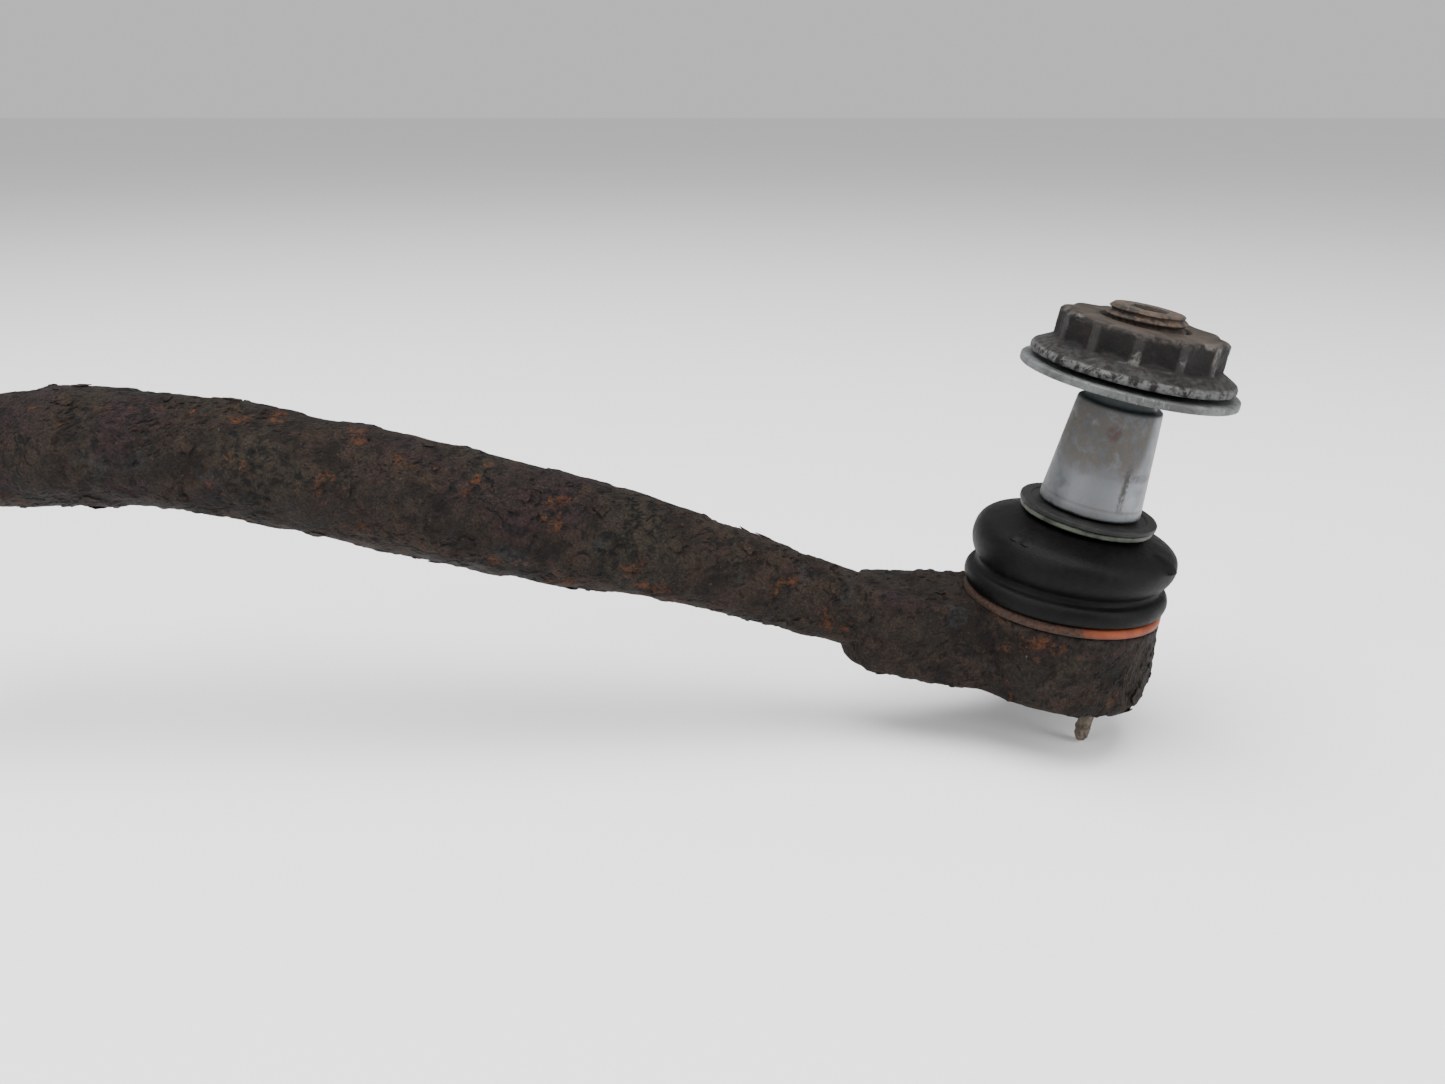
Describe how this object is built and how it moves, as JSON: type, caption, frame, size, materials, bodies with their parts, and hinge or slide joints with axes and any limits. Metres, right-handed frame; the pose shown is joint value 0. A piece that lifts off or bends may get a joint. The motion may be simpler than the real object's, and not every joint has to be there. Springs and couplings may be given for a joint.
{
  "type": "tie rod end",
  "caption": "Arched forged tie rod end: internally threaded shank, ball housing, tilting tapered ball stud, rubber boot, and flange nut with a captive washer.",
  "frame": {"origin": "on the threaded socket's axis, where the thread begins inside the mouth's 1.2 mm chamfer", "axes": "+X along the shank towards the ball, +Z on the side that the stud stands on, XZ is the shank's plane of symmetry"},
  "size_m": [0.2509, 0.0386, 0.082],
  "materials": {
    "forged_steel": "heavily rusted, flaking paint",
    "bearing_plastic": "smooth moulded",
    "spring_steel": "satin",
    "boot_rubber": "matt with grey bloom",
    "sprue_plastic": "dull, ragged end",
    "orange_plastic": "dull, partly stained brown",
    "clamp_ring_metal": "satin grey-green",
    "seal_ring_plastic": "matt black",
    "stud_steel": "ground, brown-stained on one side",
    "plated_steel": "dull zinc, worn",
    "dark_steel": "dark, lightly rusted"
  },
  "bodies": {
    "housing": {"forged_body": "forged_steel", "upper_bearing_shell": "bearing_plastic", "lower_bearing_shell": "bearing_plastic", "preload_spring": "spring_steel", "closing_plate": "forged_steel", "sealing_ring": "boot_rubber", "sprue_plug": "sprue_plastic", "orange_ring": "orange_plastic"},
    "boot_foot": {"boot": "boot_rubber", "boot_foot_ring": "spring_steel"},
    "boot_top": {"boot_clamp_ring": "clamp_ring_metal", "seal_ring": "seal_ring_plastic"},
    "stud": {"ball_stud": "stud_steel"},
    "washer": {"captive_washer": "plated_steel"},
    "nut": {"flange_nut": "dark_steel"}
  },
  "joints": [
    {"name": "lean_direction", "type": "hinge", "parent": "housing", "child": "boot_foot", "pos_m": [0.222, 0, -0.02482], "axis": [0.1045, 0, 0.9945], "continuous": true},
    {"name": "stud_lean", "type": "hinge", "parent": "boot_foot", "child": "boot_top", "pos_m": [0.222, 0, -0.02482], "axis": [0.2665, 0.9634, -0.028], "range_deg": [-26.77, 17.23], "deforming": ["boot"]},
    {"name": "stud_spin", "type": "hinge", "parent": "boot_top", "child": "stud", "pos_m": [0.222, 0, -0.02482], "axis": [0.1839, -0.0223, 0.9827], "continuous": true},
    {"name": "nut_travel", "type": "slide", "parent": "stud", "child": "washer", "axis": [0.1839, -0.0223, 0.9827], "range_m": [-0.003, 0.003]},
    {"name": "nut_turn", "type": "hinge", "parent": "washer", "child": "nut", "pos_m": [0.222, 0, -0.02482], "axis": [0.1839, -0.0223, 0.9827], "range_deg": [-720, 720]}
  ],
  "couplings": [
    {"joint": "nut_turn", "follows": "nut_travel", "rad_per_m": 4188.8}
  ]
}
